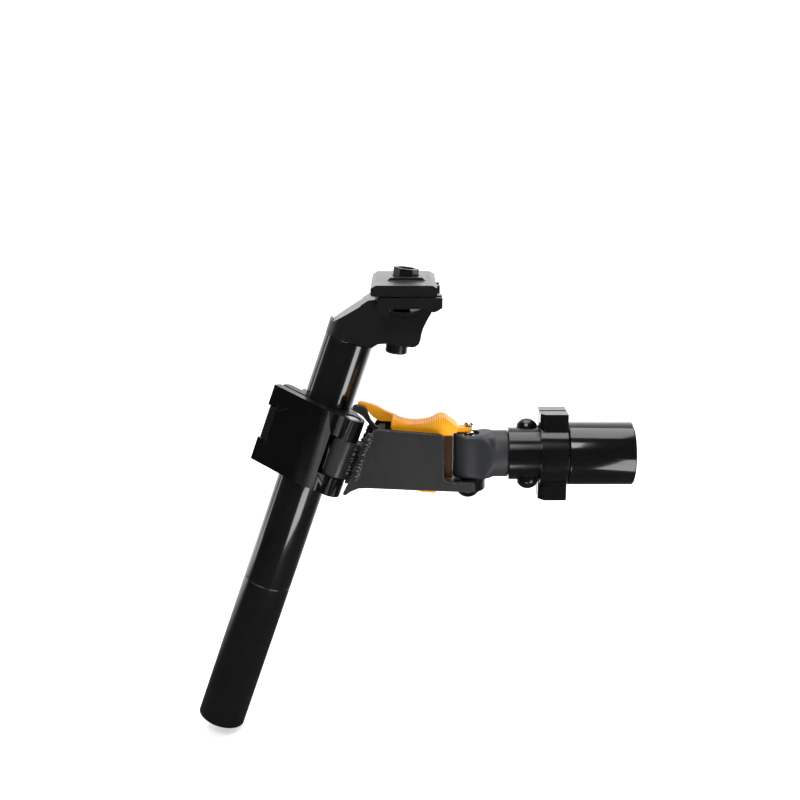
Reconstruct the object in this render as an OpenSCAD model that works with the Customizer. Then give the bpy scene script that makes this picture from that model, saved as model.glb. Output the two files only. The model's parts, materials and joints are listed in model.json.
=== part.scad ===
// Set-back seatpost with a swivelling tow hitch clamped below its head.
// The origin is on the post's centre line at the minimum insertion mark.
// +X points rearward, +Y to the right-hand side, +Z up, with the post leaning as fitted.

/* [Post] */
// Outside diameter of the post
post_diameter = 25.4; // [25.3:0.05:25.4]
// Wall thickness of the tube
post_wall = 2.1; // [1.6:0.1:2.6]
// Length of tube below the insertion mark
shank_length = 85; // [70:1:110]

/* [Rail clamp] */
// Diameter of the saddle rails
rail_diameter = 7; // [6.9:0.1:7.1]
// Distance between the two rails
rail_spacing = 44; // [43:0.5:45]
// Thickness of the upper clamp plate
cap_thickness = 5.4; // [5:0.1:6]
// Diameter of the clamp bolt
bolt_diameter = 8; // [7.6:0.1:8]

/* [Hitch clamp] */
// Height of the clamp block along the post
clamp_height = 41.5; // [40.5:0.5:42]
// Distance from the post's centre to the flat face
clamp_reach = 18; // [17.6:0.1:18.2]
// Width of the pinch slot
slot_width = 2; // [1.6:0.1:2.4]
// Diameter of the hinge pin
hinge_pin_d = 6; // [5.8:0.1:6]

/* [Bracket and latch] */
// Outside width of the bracket
bracket_width = 22; // [21.6:0.2:22.4]
// Thickness of the side plates
plate = 3; // [2.6:0.1:3.2]
// Width of the latch
latch_width = 12; // [11:0.5:13]
// Diameter of the king stud
stud_d = 8; // [7.6:0.1:8]

/* [Tow coupling] */
// Diameter of the tongue bar
bar_d = 23.5; // [23:0.1:23.8]
// Outside diameter of the spigot that the tow tube slides over
spigot_d = 31.8; // [31.4:0.1:32]
// Length of the spigot
spigot_length = 33; // [30:1:40]

/* [Hidden] */
$fn = 72;
lean = 19;
post_r = post_diameter / 2;
head_s = 139;
seat_x = 73.2;
seat_z = 160.5;
seat_r = 16;
rail_z = 156.5;
bolt_tilt = 7;
clamp_yaw = 30;
clamp_s = 63.1;
hinge_x = 14;
hinge_y = -17.5;
barrel_s = 73;
barrel_h = 20.5;
barrel_r = 5.8;
knuckle_r = 6.3;
clamp_bolt_s = [75, 94];
inner_y = bracket_width / 2 - plate;
stud_x = 105.3;
tow_z = 75.7;
shaft_r = 10;
sleeve_x = 125.1;
sleeve_l = 17.9;
cap_x = 134.9;
sleeve_r = 13.2;
sleeve_roll = 20;
collar_x = 143.4;
spigot_x = 154.7;
ear_top = 22.2;
ear_low = 22.4;

// lays its children out along the leaning post
module on_post() {
  rotate([0, lean, 0]) children();
}

// the clamp block's own frame, turned about the post
module on_clamp() {
  on_post() rotate([0, 0, -clamp_yaw]) children();
}

// the swivel hinge's axis, parallel to the post
module on_hinge() {
  on_post() translate([hinge_x, hinge_y, 0]) children();
}

// the saddle clamp's bolt axis, from the rocker's centre
module on_bolt() {
  translate([seat_x, 0, seat_z]) rotate([0, bolt_tilt, 0]) children();
}

// the tow line, with z along +X
module on_tow(x) {
  translate([x, hinge_y, tow_z]) rotate([0, 90, 0]) children();
}

// a side profile in x and z, given a thickness from y0 to y1
module slab(y0, y1) {
  translate([0, y1, 0]) rotate([90, 0, 0]) linear_extrude(y1 - y0) children();
}

// a tube or disc along z
module ring(r, bore, h) {
  difference() {
    cylinder(r = r, h = h);
    if (bore > 0) translate([0, 0, -1]) cylinder(r = bore, h = h + 2);
  }
}

// a disc with a chamfer of c at the top
module cham(r, h, c) {
  cylinder(r = r, h = h - c);
  translate([0, 0, h - c]) cylinder(r1 = r, r2 = r - c, h = c);
}

// a low dome with a flat rim
module dome(r, rim, h) {
  sr = (r * r + (h - rim) * (h - rim)) / (2 * (h - rim));
  rotate_extrude() intersection() {
    union() {
      square([r, rim]);
      translate([0, h - sr]) circle(r = sr, $fn = 144);
    }
    square([r, h]);
  }
}

// the straight tube, with the insertion mark rolled in as a shallow ring
module post_tube() {
  color([0.05, 0.05, 0.06]) on_post() rotate_extrude($fn = 96) polygon([
    [post_r - post_wall, -shank_length], [post_r - 0.6, -shank_length],
    [post_r, -shank_length + 0.6], [post_r, 0], [post_r - 0.2, 0.1],
    [post_r - 0.2, 0.7], [post_r, 0.8], [post_r, head_s - 0.3],
    [post_r - 0.3, head_s], [post_r - post_wall, head_s]
  ]);
}

// side outline of the head behind the post's centre line
module head_outline() {
  difference() {
    polygon([
      [45.3, 131.4], [56.4, 128.7], [58, 129.6], [59.8, 130.7], [63.5, 131], [68, 130.2],
      [74.3, 129.4], [76.7, 129.1], [78.6, 129.5], [80.1, 130.7], [81, 132.9], [81.5, 136],
      [82.3, 138.8], [84.1, 142.5], [86.1, 146], [87, 148.4], [87, 151.6], [84, 153.4],
      [60, 153.4], [55.2, 152.8], [51.4, 150.4]
    ]);
    translate([seat_x, seat_z]) circle(r = seat_r + 0.3, $fn = 144);
  }
}

module post_head() {
  color([0.06, 0.06, 0.07]) difference() {
    union() {
      slab(-post_r, post_r) head_outline();
      on_post() translate([0, 0, head_s + 0.02]) difference() {
        cylinder(r = post_r, h = 20);
        translate([-11, -20, 6.3]) rotate([0, -50.7, 0]) cube([40, 40, 30]);
        translate([0, -20, -1]) cube([40, 40, 30]);
      }
      on_post() translate([0, 0, head_s - 22])
        ring(post_r - post_wall - 0.02, post_r - post_wall - 3, 24);
    }
    // the tilting slot for the clamp bolt
    slab(-bolt_diameter / 2 - 0.3, bolt_diameter / 2 + 0.3)
      polygon([[60.6, 125], [78.4, 125], [78, 150], [66, 150]]);
    // curved seat for the bolt's washer, hidden inside the head's underside
    slab(-6.3, 6.3) difference() {
      polygon([[59.5, 120], [82, 120], [81, 136], [59.5, 136]]);
      translate([seat_x, seat_z]) circle(r = 30, $fn = 180);
    }
  }
}

// plan of the clamp block
module clamp_plan() {
  circle(r = 15.2);
  polygon([
    [-22.8, -clamp_reach], [2, -clamp_reach], [7, 0.25 - clamp_reach], [11.5, 0.9 - clamp_reach],
    [16, 2.1 - clamp_reach], [19.6, -14.3], [26, -4.6], [14.5, 3.8], [0, 0], [-22.8, -12]
  ]);
  polygon([[-22.3, -12], [-22.3, -6.6], [-20.6, -5], [-14, -5], [0, 0], [0, -12]]);
  on_knuckle_plan() circle(r = knuckle_r);
}

// the hinge axis seen in the clamp block's plan
module on_knuckle_plan() {
  translate([
    hinge_x * cos(clamp_yaw) - hinge_y * sin(clamp_yaw),
    hinge_x * sin(clamp_yaw) + hinge_y * cos(clamp_yaw)
  ]) children();
}

module hitch_clamp() {
  color([0.04, 0.04, 0.045]) difference() {
    on_clamp() difference() {
      translate([0, 0, clamp_s]) linear_extrude(clamp_height) difference() {
        clamp_plan();
        circle(r = post_r + 0.05, $fn = 96);
        translate([-30, -11.6 - slot_width / 2]) square([26, slot_width]);
        on_knuckle_plan() circle(r = hinge_pin_d / 2);
      }
      // shallow pocket for the nut plate at the front of the flat face
      translate([-24, -clamp_reach - 1, 75.4]) cube([2.2, 8, 18.2]);
      translate([-24, -clamp_reach - 1, 75.4]) cube([6.8, 3.4, 18.2]);
      // pinch bolts
      for (s = clamp_bolt_s) translate([-18, 0, s]) rotate([-90, 0, 0]) {
        translate([0, 0, -20]) cylinder(r = 2.1, h = 20);
        translate([0, 0, -8]) cylinder(r = 3.6, h = 20);
      }
      // clip recesses at both ends of the hinge bore
      on_knuckle_plan() {
        translate([0, 0, clamp_s - 1]) cylinder(r = 4.4, h = 2.5);
        translate([0, 0, clamp_s + clamp_height - 1.5]) cylinder(r = 4.4, h = 3);
      }
    }
    // the window that the barrel turns in
    on_post() translate([0, 0, barrel_s - 0.3]) linear_extrude(barrel_h + 0.6) difference() {
      union() {
        translate([5.6, -40]) square([40, 26.6]);
        translate([hinge_x, hinge_y]) circle(r = barrel_r + 0.6);
        translate([hinge_x, -40]) square([40, 60]);
      }
      circle(r = 15.2);
    }
  }
}

module clamp_nut_plate() {
  color([0.1, 0.1, 0.11]) on_clamp() difference() {
    translate([-21.7, -clamp_reach + 0.3, 75.7]) cube([4.2, 2.1, 17.6]);
    for (s = clamp_bolt_s) translate([-18, 1.1 - clamp_reach, s])
      rotate([-90, 0, 0]) cylinder(r = 2, h = 20);
  }
}

module clamp_bolts() {
  color([0.16, 0.16, 0.17]) on_clamp() for (s = clamp_bolt_s)
    translate([-18, 0, s]) rotate([-90, 0, 0]) {
      translate([0, 0, 1.15 - clamp_reach]) cylinder(r = 2, h = clamp_reach - 8.45);
      translate([0, 0, -7.35]) difference() {
        cylinder(r = 3.4, h = 3.6);
        translate([0, 0, 1.8]) cylinder(r = 1.75, h = 4, $fn = 6);
      }
    }
}

module clamp_washers() {
  color([0.5, 0.5, 0.52]) on_clamp() for (s = clamp_bolt_s)
    translate([-18, 0, s]) rotate([-90, 0, 0]) translate([0, 0, -8]) ring(3.5, 2.05, 0.6);
}

module hinge_pin() {
  color([0.3, 0.3, 0.32]) on_hinge() translate([0, 0, clamp_s + 0.4]) difference() {
    cham(hinge_pin_d / 2, clamp_height - 0.8, 0.4);
    for (h = [0.25, clamp_height - 1.95]) translate([0, 0, h]) difference() {
      cylinder(r = 6, h = 0.9);
      cylinder(r = hinge_pin_d / 2 - 0.5, h = 0.9);
    }
  }
}

module hinge_pin_clips() {
  color([0.55, 0.55, 0.57]) on_hinge() for (s = [clamp_s + 0.7, clamp_s + clamp_height - 1.5])
    translate([0, 0, s]) difference() {
      ring(4.1, hinge_pin_d / 2 - 0.5, 0.8);
      translate([0, -1, -1]) cube([10, 2, 3]);
    }
}

// lower half of the saddle clamp, a rocker with a trough for each rail
module rail_cradle() {
  color([0.07, 0.07, 0.08]) difference() {
    union() {
      slab(-13.5, 13.5) translate([seat_x, seat_z]) intersection() {
        circle(r = seat_r, $fn = 144);
        translate([-20, -30]) square([40, 22.7]);
      }
      slab(-26.5, 26.5) polygon([
        [60.6, 151.4], [62, 150.7], [84.5, 150.9], [87, 152], [87, 153.2], [60.6, 153.2]
      ]);
      for (m = [-1, 1]) {
        y = m * (rail_spacing / 2 - 2.1);
        slab(y - 6.7, y + 6.7) polygon([
          [59.8, 148.6], [61, 147.4], [65, 147.4], [66, 148.6], [66, 150.4],
          [68, 151.6], [83, 151.6], [85.2, 151], [85.2, 149.9], [86.7, 149.1],
          [88.6, 149.6], [91.3, 151.3], [91.3, 156.2], [59.8, 156.2]
        ]);
      }
    }
    for (m = [-1, 1]) translate([50, m * rail_spacing / 2, rail_z]) rotate([0, 90, 0])
      cylinder(r = rail_diameter / 2 + 0.05, h = 50);
    on_bolt() translate([0, 0, -20]) cylinder(r = bolt_diameter / 2 + 0.05, h = 30);
    slab(-13, 13) polygon([[59.8, 153.3], [91.3, 153.3], [91.3, 160], [59.8, 160]]);
    // lens-shaped window through the rocker
    slab(-30, 30) polygon([
      [64.4, 150.3], [65.6, 148.7], [68.6, 147.3], [72.6, 146.8], [76.8, 147.1], [80.4, 148.3],
      [83.4, 150.2], [82.4, 150.7], [65.2, 150.6]
    ]);
    // clears the head below the troughs
    slab(-13.1, 13.1) difference() {
      polygon([[50, 140], [95, 140], [95, 153.3], [50, 153.3]]);
      translate([seat_x, seat_z]) circle(r = seat_r, $fn = 144);
    }
  }
}

module rail_cap() {
  color([0.07, 0.07, 0.08]) difference() {
    union() {
      slab(-26.5, 26.5) polygon([
        [56.5, 157.6], [57.3, 156.8], [87.9, 156.8], [88.7, 157.6], [88.7, 160.8],
        [86.4, rail_z + 0.3 + cap_thickness], [59, rail_z + 0.3 + cap_thickness], [56.5, 160.6]
      ]);
      slab(-9, 9) polygon([[63, 161], [84.6, 161], [82, 163.6], [66, 163.6]]);
    }
    for (m = [-1, 1]) translate([50, m * rail_spacing / 2, rail_z]) rotate([0, 90, 0])
      cylinder(r = rail_diameter / 2 + 0.05, h = 50);
    on_bolt() {
      translate([0, 0, -20]) cylinder(r = bolt_diameter / 2 + 0.05, h = 30);
      translate([0, 0, 0.6]) cylinder(r = 6.9, h = 12);
    }
    // relief under the plate between the rails
    slab(-15, 15) polygon([[56, 156], [90, 156], [90, 158], [56, 158]]);
  }
}

module rail_bolt() {
  color([0.14, 0.14, 0.15]) on_bolt() difference() {
    union() {
      translate([0, 0, -31.75]) cylinder(r = bolt_diameter / 2, h = 37.5);
      translate([0, 0, -36.9]) cylinder(r1 = 5, r2 = 5.65, h = 0.7);
      translate([0, 0, -36.2]) cylinder(r = 5.65, h = 4.4);
    }
    translate([0, 0, -38]) cylinder(r = 3.46, h = 4.4, $fn = 6);
  }
}

module rail_washer() {
  color([0.45, 0.45, 0.47]) on_bolt() difference() {
    translate([0, 0, -31.8]) ring(5.9, bolt_diameter / 2 + 0.05, 3.2);
    rotate([90, 0, 0]) cylinder(r = 30.3, h = 40, center = true, $fn = 180);
  }
}

module rail_nut() {
  color([0.2, 0.2, 0.21]) on_bolt() translate([0, 0, 0.65]) difference() {
    union() {
      cylinder(r = 6.8, h = 1.4);
      cylinder(r = 6.4, h = 6.2, $fn = 6);
    }
    translate([0, 0, -1]) cylinder(r = bolt_diameter / 2 + 0.02, h = 10);
  }
}

// swivel barrel between the knuckles
module hinge_barrel() {
  color([0.15, 0.15, 0.16]) on_hinge() translate([0, 0, barrel_s])
    ring(barrel_r, hinge_pin_d / 2 + 1.25, barrel_h);
}

module hinge_bushes() {
  color([0.55, 0.45, 0.25]) on_hinge() for (s = [0, barrel_h - 8])
    translate([0, 0, barrel_s + s]) ring(hinge_pin_d / 2 + 1.2, hinge_pin_d / 2 + 0.05, 8);
}

// outline of one side plate with its lower lip
module plate_outline() {
  polygon([
    [42, 57.2], [43.4, 56.6], [46, 58.6], [50, 60.3], [54, 60.5], [97, 58.6], [107, 58.2],
    [107.9, 59.2], [107.9, 62.5], [107, 63.4], [92.6, 63.4], [92.6, 86.6], [91, 88.3],
    [62.4, 90.6], [59.8, 91], [58.5, 90.2]
  ]);
  difference() {
    translate([92.5, 63.3]) square([4.4, 4.4]);
    translate([96.9, 67.7]) circle(r = 4.3);
  }
}

module bracket_channel() {
  color([0.22, 0.22, 0.23]) for (m = [0, 1])
    translate([0, hinge_y + m * (bracket_width - plate) - bracket_width / 2, 0])
      slab(0, plate) plate_outline();
}

// cross web, neck and top bridge that join the side plates to the barrel, with a
// stop lug that reaches over the clamp
module bracket_web() {
  color([0.22, 0.22, 0.23]) {
    on_hinge() difference() {
      union() {
        translate([11.7, -inner_y, 75.5]) cube([3.2, 2 * inner_y, 26.6]);
        translate([3.5, -4.6, barrel_s + 0.5]) cube([8.8, 9.2, barrel_h - 1]);
      }
      cylinder(r = barrel_r + 0.03, h = 200);
    }
    translate([0, hinge_y, 0]) slab(-inner_y, inner_y)
      polygon([[58.6, 86.2], [63.2, 86.2], [63.2, 89.4], [60.2, 89.4]]);
    translate([0, hinge_y, 0]) slab(0.4, 3.4) polygon([
      [46.9, 98.2], [47.7, 100.2], [49, 100.5], [53.2, 99.3], [54.1, 98.3], [54.8, 95.8],
      [56.2, 92.6], [58.8, 89.4], [62, 89.2], [62, 86.3], [58.7, 86.3], [57.2, 87.6],
      [55, 91], [51.9, 94.9]
    ]);
  }
}

module bracket_lip() {
  color([0.1, 0.1, 0.11]) translate([0, hinge_y, 57.9]) difference() {
    linear_extrude(5) {
      translate([91, -inner_y]) square([16.9, 2 * inner_y]);
      intersection() {
        translate([103, 0]) circle(r = bracket_width / 2);
        translate([107.9, -20]) square([20, 40]);
      }
    }
    translate([stud_x, 0, -1]) cylinder(r = stud_d / 2, h = 10);
  }
}

// rippled beads along the front edges of the side plates and around the neck
module weld_beads() {
  color([0.16, 0.16, 0.17]) on_hinge() {
    for (m = [-1, 1]) for (k = [0:16])
      translate([10.7, m * (inner_y + 1.2), 76.2 + k * 1.6]) sphere(r = 2 + 0.15 * (k % 2), $fn = 16);
    for (m = [-1, 1]) for (k = [0:10])
      translate([6.2, m * 4.2, barrel_s + 1.8 + k * 1.7]) sphere(r = 1.4, $fn = 16);
  }
}

// grooved stud that the tongue turns on
module king_stud() {
  color([0.62, 0.62, 0.64]) translate([stud_x, hinge_y, 54.8]) rotate_extrude() polygon([
    [0, 0], [stud_d / 2, 0], [stud_d / 2, 29.7], [3.4, 30.4], [2.4, 30.6],
    [2.4, 32], [1.7, 32.4], [1.7, 35.5], [2.4, 35.9], [2.4, 36.6], [1.8, 37.2], [0, 37.2]
  ]);
}

module stud_nut() {
  color([0.08, 0.08, 0.09]) translate([stud_x, hinge_y, 57.9]) mirror([0, 0, 1]) difference() {
    dome(5.9, 1.4, 5.2);
    translate([0, 0, -1]) cylinder(r = stud_d / 2, h = 4.1);
  }
}

// side outline of the latch
module latch_outline() {
  difference() {
    polygon([
      [66.2, 91], [66.7, 89.4], [68.2, 88.1], [72, 88], [72, 61.6], [58, 61.5], [53, 61.2],
      [51.6, 60.6], [51.7, 59.3], [80, 57.7], [82, 56.9], [88.2, 56.5], [89.2, 57.3],
      [89.2, 62], [90.6, 64.4], [97.2, 64.6], [97.2, 87.8], [98.8, 88], [99.9, 89.2],
      [99.6, 90.8], [93.4, 95.4], [92, 95.6], [68.8, 95.6], [66.8, 94.3]
    ]);
    translate([78.6, 116.7]) circle(r = 24.2, $fn = 180);
  }
}

module release_latch() {
  color([1, 0.66, 0.1]) translate([0, hinge_y, 0]) {
    difference() {
      slab(-latch_width / 2, latch_width / 2) latch_outline();
      // finger ribs across the thumb rest
      for (k = [0:16]) translate([78.6, 0, 116.7]) rotate([0, 24 - k * 2.8, 0])
        translate([0, 0, -24.25]) cube([0.5, 40, 0.9], center = true);
    }
    // fork that sits in the stud's groove
    difference() {
      translate([96, -3, 87.6]) cube([10.6, 6, 2.3]);
      translate([stud_x, 0, 80]) cylinder(r = 1.85, h = 20);
      translate([stud_x, -1.85, 80]) cube([10, 3.7, 20]);
    }
    // arm that reaches forward over the clamp
    slab(3.9, inner_y - 0.3) polygon([
      [49.4, 100.3], [50.6, 101.1], [52.6, 101], [58.6, 99.2], [64, 96.2], [69.6, 93.8],
      [69.6, 91.2], [60.4, 91.5], [57, 93.6], [54.4, 96.6], [52.6, 97.8], [50, 98.9]
    ]);
  }
}

// flattened eye that runs into a round bar and a turned shaft
module tongue() {
  color([0.2, 0.21, 0.23]) difference() {
    union() {
      translate([stud_x, hinge_y, 63.9]) cylinder(r = 7.8, h = 22.5);
      translate([stud_x, hinge_y - 7.8, 64.6]) cube([11, 15.6, 21.8]);
      on_tow(110.5) cylinder(r1 = 9.6, r2 = bar_d / 2, h = 4.5);
      on_tow(115) cylinder(r = bar_d / 2, h = sleeve_x - 0.3 - 115);
      on_tow(120) cylinder(r = shaft_r, h = 64.5);
    }
    translate([stud_x, hinge_y, 60]) cylinder(r = stud_d / 2 + 1.5, h = 30);
    translate([cap_x, hinge_y, tow_z]) rotate([-sleeve_roll, 0, 0])
      cylinder(r = 3, h = 50, center = true);
    on_tow(181.95) difference() {
      cylinder(r = 12, h = 1.1);
      cylinder(r = 9, h = 1.1);
    }
  }
}

module tongue_bush() {
  color([0.55, 0.45, 0.25]) translate([stud_x, hinge_y, 64])
    ring(stud_d / 2 + 1.45, stud_d / 2 + 0.05, 21);
}

// the sleeve's own frame at the bolt, rolled about the tow line
module on_sleeve() {
  translate([cap_x, hinge_y, tow_z]) rotate([-sleeve_roll, 0, 0]) children();
}

// both halves of the split sleeve, with a spot face for each cap
module sleeve_blank() {
  difference() {
    translate([sleeve_x - cap_x, 0, 0]) rotate([0, 90, 0]) ring(sleeve_r, shaft_r + 0.02, sleeve_l);
    for (z = [12.4, -32.4]) translate([0, 0, z]) cylinder(r = 5.35, h = 20);
    cylinder(r = 3.02, h = 50, center = true);
  }
}

module sleeve_upper() {
  color([0.05, 0.05, 0.06]) on_sleeve() intersection() {
    sleeve_blank();
    translate([-12, -20, 0.2]) cube([24, 40, 30]);
  }
}

module sleeve_lower() {
  color([0.05, 0.05, 0.06]) on_sleeve() intersection() {
    sleeve_blank();
    translate([-12, -20, -30.2]) cube([24, 40, 30]);
  }
}

module sleeve_bolt() {
  color([0.4, 0.4, 0.42]) on_sleeve() cylinder(r = 2.98, h = 31, center = true);
}

module sleeve_caps() {
  color([0.05, 0.05, 0.06]) on_sleeve() for (m = [0, 1])
    mirror([0, 0, m]) translate([0, 0, 12.42]) difference() {
      dome(5.2, 2.2, 5.4);
      translate([0, 0, -1]) cylinder(r = 3.02, h = 4.2);
    }
}

module shaft_washer() {
  color([0.6, 0.6, 0.62]) on_tow(180.15) ring(13, shaft_r + 0.02, 1.8);
}

module shaft_ring() {
  color([0.3, 0.3, 0.32]) on_tow(182) difference() {
    ring(11.6, 9, 1);
    translate([-14, -1.6, -1]) cube([14, 3.2, 4]);
  }
}

// rolling end that carries the tow tube
module spigot() {
  color([0.05, 0.05, 0.06]) on_tow(collar_x) difference() {
    union() {
      cylinder(r = 12, h = 20);
      translate([0, 0, spigot_x - collar_x]) cham(spigot_d / 2, spigot_length, 1.2);
    }
    translate([0, 0, -1]) cylinder(r = shaft_r + 0.05, h = 60);
    translate([0, 0, 180 - collar_x]) cylinder(r = 14, h = 60);
  }
}

// one half of the pinch collar, on the side given by m
module collar_half(m) {
  translate([0, hinge_y, tow_z]) difference() {
    union() {
      translate([140.7, 0, 0]) rotate([0, 90, 0]) cylinder(r = 15.6, h = 13.6);
      linear_extrude(ear_top) polygon([
        [140.5, 8.5], [140.5, -6], [142.6, -8.5], [154.3, -8.5], [154.3, 8.5]
      ]);
      translate([0, 0, -ear_low]) linear_extrude(ear_low) polygon([
        [140.3, 8.5], [140.3, -5], [143.2, -8.5], [154.3, -8.5], [154.3, 8.5]
      ]);
    }
    translate([130, 0, 0]) rotate([0, 90, 0]) cylinder(r = 12.02, h = 40);
    translate([138, 0, 0]) rotate([0, 90, 0]) cylinder(r = 14.2, h = collar_x + 0.2 - 138);
    translate([130, m > 0 ? -30 : -0.8, -40]) cube([40, 30.8, 80]);
    for (z = [ear_top - 3.8, -ear_low + 3.8]) translate([147.6, m > 0 ? -2 : -6, z])
      rotate([-90, 0, 0]) cylinder(r = 2.1, h = 40);
    // counterbore for the screw heads
    for (z = [ear_top - 3.8, -ear_low + 3.8]) translate([147.6, 5.6, z])
      rotate([-90, 0, 0]) cylinder(r = 3.6, h = 10, $fn = 48);
  }
}

module collar_near() {
  color([0.05, 0.05, 0.06]) collar_half(-1);
}

module collar_far() {
  color([0.05, 0.05, 0.06]) collar_half(1);
}

module collar_screws() {
  color([0.14, 0.14, 0.15]) translate([147.6, hinge_y, tow_z])
    for (z = [ear_top - 3.8, -ear_low + 3.8]) translate([0, 0, z]) rotate([-90, 0, 0]) {
      translate([0, 0, -6]) cylinder(r = 2.05, h = 12.6);
      translate([0, 0, 5.65]) difference() {
        cylinder(r = 3.4, h = 3.6);
        translate([0, 0, 1.6]) cylinder(r = 1.75, h = 4, $fn = 6);
      }
    }
}

post_tube();
post_head();
hitch_clamp();
clamp_nut_plate();
clamp_bolts();
clamp_washers();
hinge_pin();
hinge_pin_clips();
rail_cradle();
rail_cap();
rail_bolt();
rail_washer();
rail_nut();
hinge_barrel();
hinge_bushes();
bracket_channel();
bracket_web();
bracket_lip();
weld_beads();
king_stud();
stud_nut();
release_latch();
tongue();
tongue_bush();
sleeve_upper();
sleeve_lower();
sleeve_bolt();
sleeve_caps();
shaft_washer();
shaft_ring();
spigot();
collar_near();
collar_far();
collar_screws();
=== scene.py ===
import json
import math

import bmesh
import bpy
import numpy as np
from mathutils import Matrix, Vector


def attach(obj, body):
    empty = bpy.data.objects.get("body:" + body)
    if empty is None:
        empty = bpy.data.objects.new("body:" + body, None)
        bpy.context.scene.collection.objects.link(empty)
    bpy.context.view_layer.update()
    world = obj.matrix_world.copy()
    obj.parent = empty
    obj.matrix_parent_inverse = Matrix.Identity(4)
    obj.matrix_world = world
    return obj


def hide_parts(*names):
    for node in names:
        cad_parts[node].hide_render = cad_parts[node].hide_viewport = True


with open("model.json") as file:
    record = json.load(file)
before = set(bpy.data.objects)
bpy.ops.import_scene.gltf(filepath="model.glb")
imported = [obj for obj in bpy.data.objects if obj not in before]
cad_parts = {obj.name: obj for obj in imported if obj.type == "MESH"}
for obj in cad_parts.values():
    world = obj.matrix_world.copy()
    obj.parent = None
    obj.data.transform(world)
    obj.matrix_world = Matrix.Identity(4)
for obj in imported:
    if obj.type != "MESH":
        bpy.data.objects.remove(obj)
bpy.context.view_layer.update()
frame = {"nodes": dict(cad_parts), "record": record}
mm = 0.001  # sizes of pieces are in mm and become metres where their meshes are made
slotOf = {p["node"]: p["material_slot"] for p in frame["record"]["subparts"]}
bodyOf = {n: b for b, ns in frame["record"]["behaviour"]["bodies"].items() for n in ns}
print("frame loaded,", len(frame["nodes"]), "nodes")


def newGroup(name, inputs, outputs):
    group = bpy.data.node_groups.new(name, "ShaderNodeTree")
    for label, kind, value in inputs:
        socket = group.interface.new_socket(name=label, in_out="INPUT", socket_type=kind)
        socket.default_value = value
    for label, kind in outputs:
        group.interface.new_socket(name=label, in_out="OUTPUT", socket_type=kind)
    return group, group.nodes.new("NodeGroupInput"), group.nodes.new("NodeGroupOutput")


def mathNode(tree, operation, a, b=None, clamp=False):
    node = tree.nodes.new("ShaderNodeMath")
    node.operation = operation
    node.use_clamp = clamp
    for i, value in enumerate((a, b)):
        if value is None:
            continue
        if isinstance(value, (int, float)):
            node.inputs[i].default_value = value
        else:
            tree.links.new(value, node.inputs[i])
    return node.outputs[0]


def rampNode(tree, factor, low, high):
    node = tree.nodes.new("ShaderNodeMapRange")
    node.interpolation_type = "SMOOTHSTEP"
    node.inputs["From Min"].default_value = low
    node.inputs["From Max"].default_value = high
    tree.links.new(factor, node.inputs["Value"])
    return node.outputs["Result"]


def noiseNode(tree, vector, scale, detail=3.0, roughness=0.55):
    node = tree.nodes.new("ShaderNodeTexNoise")
    node.inputs["Detail"].default_value = detail
    node.inputs["Roughness"].default_value = roughness
    tree.links.new(vector, node.inputs["Vector"])
    if isinstance(scale, (int, float)):
        node.inputs["Scale"].default_value = scale
    else:
        tree.links.new(scale, node.inputs["Scale"])
    return node.outputs["Fac"]


def objectCoords(tree, stretch=None):
    coords = tree.nodes.new("ShaderNodeTexCoord").outputs["Object"]
    if stretch is None:
        return coords
    mapping = tree.nodes.new("ShaderNodeMapping")
    mapping.inputs["Scale"].default_value = stretch
    tree.links.new(coords, mapping.inputs["Vector"])
    return mapping.outputs["Vector"]


def axisOf(tree, vector, axis):
    split = tree.nodes.new("ShaderNodeSeparateXYZ")
    tree.links.new(vector, split.inputs["Vector"])
    return split.outputs[axis]


# 0 below start, 1 above start plus width, straight in between
def riseNode(tree, value, start, width):
    return mathNode(tree, "DIVIDE", mathNode(tree, "SUBTRACT", value, start), width, clamp=True)


# worn edges: the faces that broke an edge carry the attribute broken, and noise thins the wear out
def makeEdgeWear():
    group, gIn, gOut = newGroup(
        "edgeWear",
        [
            ("Low", "NodeSocketFloat", 0.45),
            ("High", "NodeSocketFloat", 0.72),
            ("Breakup", "NodeSocketFloat", 520.0),
        ],
        [("Mask", "NodeSocketFloat")],
    )
    edge = group.nodes.new("ShaderNodeAttribute")
    edge.attribute_name = "broken"
    noise = noiseNode(group, objectCoords(group), gIn.outputs["Breakup"], 4.0, 0.7)
    span = mathNode(group, "SUBTRACT", gIn.outputs["High"], gIn.outputs["Low"])
    patchy = riseNode(group, noise, gIn.outputs["Low"], span)
    group.links.new(mathNode(group, "MULTIPLY", edge.outputs["Fac"], patchy), gOut.inputs["Mask"])
    return group


# fine grain: two close octaves of noise as a height, and a slow drift as a variation
def makeGrain():
    group, gIn, gOut = newGroup(
        "surfaceGrain",
        [("Grain Scale", "NodeSocketFloat", 1500.0), ("Drift Scale", "NodeSocketFloat", 40.0)],
        [("Height", "NodeSocketFloat"), ("Drift", "NodeSocketFloat")],
    )
    coords = objectCoords(group)
    fine = noiseNode(group, coords, gIn.outputs["Grain Scale"], 2.0, 0.6)
    coarse = noiseNode(group, coords, mathNode(group, "MULTIPLY", gIn.outputs["Grain Scale"], 0.45), 2.0)
    fineShare = mathNode(group, "MULTIPLY", fine, 0.7)
    coarseShare = mathNode(group, "MULTIPLY", coarse, 0.3)
    group.links.new(mathNode(group, "ADD", fineShare, coarseShare), gOut.inputs["Height"])
    group.links.new(noiseNode(group, coords, gIn.outputs["Drift Scale"], 4.0, 0.6), gOut.inputs["Drift"])
    return group


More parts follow.
